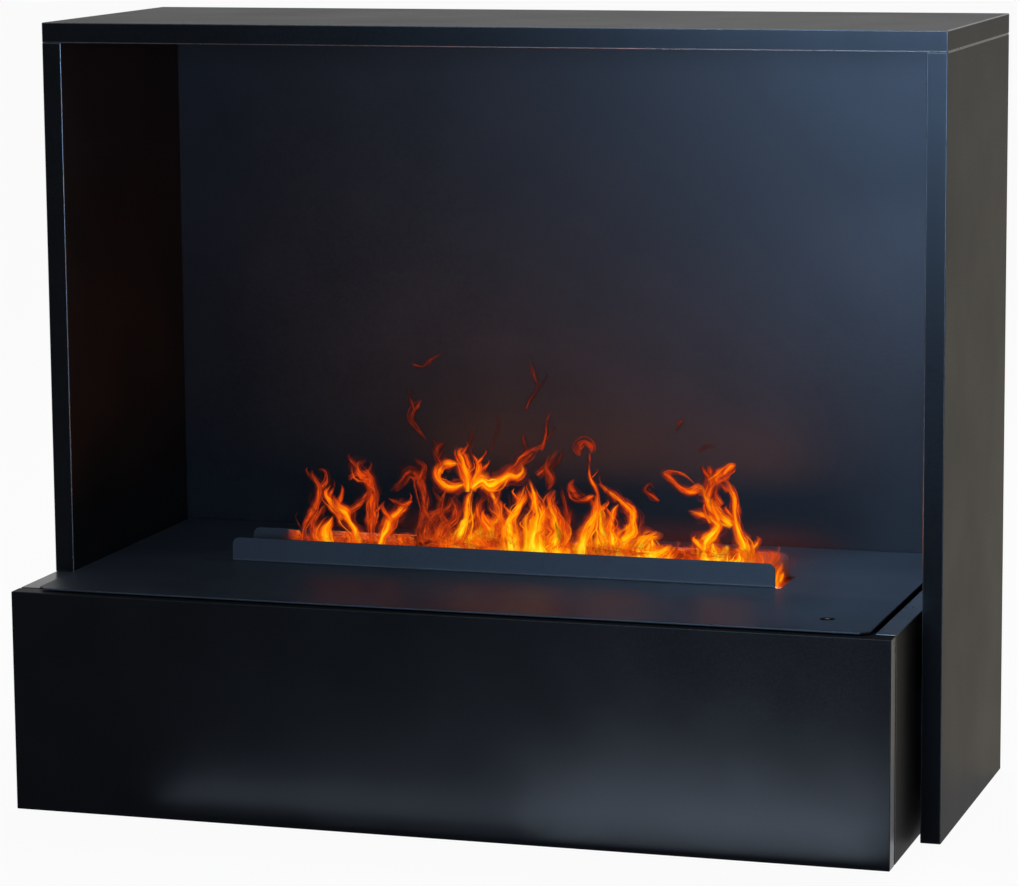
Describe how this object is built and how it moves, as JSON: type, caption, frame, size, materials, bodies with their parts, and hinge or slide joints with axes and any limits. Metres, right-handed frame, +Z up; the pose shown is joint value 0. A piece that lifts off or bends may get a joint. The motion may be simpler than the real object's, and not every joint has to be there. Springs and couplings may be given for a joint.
{
  "type": "bioethanol fireplace",
  "caption": "Free-standing fireplace: an open board portal on a box base, with a slotted steel cover, folded lips and a flush push button over an automatic ethanol burner.",
  "frame": {"origin": "on the floor, at the middle of the object's outline seen from above", "axes": "+X to the right of someone facing the fire, +Y to the back, +Z up"},
  "size_m": [1, 0.466, 0.85],
  "materials": {
    "black_board": "satin black lacquer on board",
    "black_steel": "fine-textured satin black powder coat",
    "stainless": "brushed",
    "zinc_steel": "zinc-plated",
    "beech": "raw",
    "felt": "matt",
    "ceramic_fibre": "matt",
    "black_plastic": "matt",
    "red_plastic": "satin",
    "green_board": "satin",
    "rubber": "matt"
  },
  "bodies": {
    "fireplace": {"top_panel": "black_board", "left_side_panel": "black_board", "right_side_panel": "black_board", "back_panel": "black_board", "base_left_board": "black_board", "base_right_board": "black_board", "base_floor_board": "black_board", "base_back_board": "black_board", "front_rail": "black_board", "dowel_top_left_front": "beech", "dowel_top_left_rear": "beech", "dowel_top_right_front": "beech", "dowel_top_right_rear": "beech", "dowel_side_left_front": "beech", "dowel_side_left_rear": "beech", "magnet_left": "black_plastic", "magnet_right": "black_plastic", "leg_spacer_front": "black_plastic", "leg_spacer_rear": "black_plastic", "leg_bolt_front": "zinc_steel", "leg_bolt_rear": "zinc_steel", "front_felt": "felt", "rear_felt": "felt", "burner_housing": "black_steel", "burner_trough": "stainless", "ceramic_insert": "ceramic_fibre", "trough_stand_left": "zinc_steel", "trough_stand_right": "zinc_steel", "lid_runner_left": "zinc_steel", "lid_runner_right": "zinc_steel", "fuel_tank": "stainless", "filler_neck": "stainless", "level_sensor": "black_plastic", "pump_head": "black_plastic", "pump_motor": "zinc_steel", "suction_hose": "rubber", "delivery_hose": "rubber", "igniter": "zinc_steel", "igniter_lead": "rubber", "pump_lead": "rubber", "control_box": "black_plastic", "control_box_lid": "black_plastic", "circuit_board": "green_board", "fan_frame": "black_plastic", "button_stand": "zinc_steel", "button_barrel": "stainless", "button_lead": "rubber", "inlet_plate": "zinc_steel", "mains_inlet": "black_plastic", "mains_lead": "rubber"},
    "cover": {"cover_plate": "black_steel"},
    "front": {"base_front_panel": "black_board", "keeper_left": "zinc_steel", "keeper_right": "zinc_steel"},
    "button": {"button_cap": "stainless"},
    "cap": {"filler_cap": "black_plastic"},
    "lid": {"trough_lid": "stainless"},
    "float": {"level_float": "red_plastic"},
    "rotor": {"fan_rotor": "black_plastic"},
    "rocker": {"power_rocker": "red_plastic"}
  },
  "joints": [
    {"name": "cover_lift", "type": "slide", "parent": "fireplace", "child": "cover", "axis": [0, 0, 1], "range_m": [0, 0.1]},
    {"name": "front_panel_pull", "type": "slide", "parent": "fireplace", "child": "front", "axis": [0, -1, 0], "range_m": [0, 0.05]},
    {"name": "button_press", "type": "slide", "parent": "fireplace", "child": "button", "axis": [0, 0, -1], "range_m": [0, 0.002], "stiffness_N_per_m": 500, "springref_m": -0.003},
    {"name": "filler_cap_lift", "type": "slide", "parent": "fireplace", "child": "cap", "axis": [0, 0, 1], "range_m": [0, 0.03]},
    {"name": "trough_lid_slide", "type": "slide", "parent": "fireplace", "child": "lid", "axis": [0, -1, 0], "range_m": [0, 0.066]},
    {"name": "float_rise", "type": "slide", "parent": "fireplace", "child": "float", "axis": [0, 0, 1], "range_m": [0, 0.09]},
    {"name": "fan_spin", "type": "hinge", "parent": "fireplace", "child": "rotor", "pos_m": [0.4, 0.004, 0.062], "axis": [0, 1, 0], "continuous": true},
    {"name": "power_rocker_tilt", "type": "hinge", "parent": "fireplace", "child": "rocker", "pos_m": [0.4115, 0.208, 0.08], "axis": [-1, 0, 0], "range_deg": [0, 16]}
  ]
}
